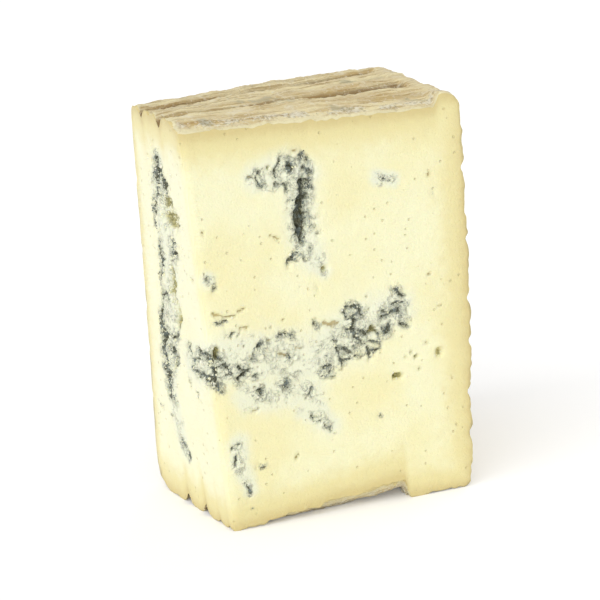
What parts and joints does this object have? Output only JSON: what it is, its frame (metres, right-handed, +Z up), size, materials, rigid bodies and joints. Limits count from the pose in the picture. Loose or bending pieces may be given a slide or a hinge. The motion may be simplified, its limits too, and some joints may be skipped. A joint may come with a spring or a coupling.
{
  "type": "blue cheese wedge",
  "caption": "Upright wedge of blue-veined cheese with two flat knife cuts, ridged natural rind on top and foot, and a rounded rim",
  "frame": {"origin": "centre of the bounding box at the level the wedge stands on", "axes": "+Z up, the cheese's height; -Y the large cut face; -X the narrow cut face; +X and +Y the rim"},
  "size_m": [0.1014, 0.0794, 0.1209],
  "materials": {
    "cheese": "soft satin cream paste"
  },
  "bodies": {
    "root": {"cheese_wedge": "cheese"}
  },
  "joints": []
}
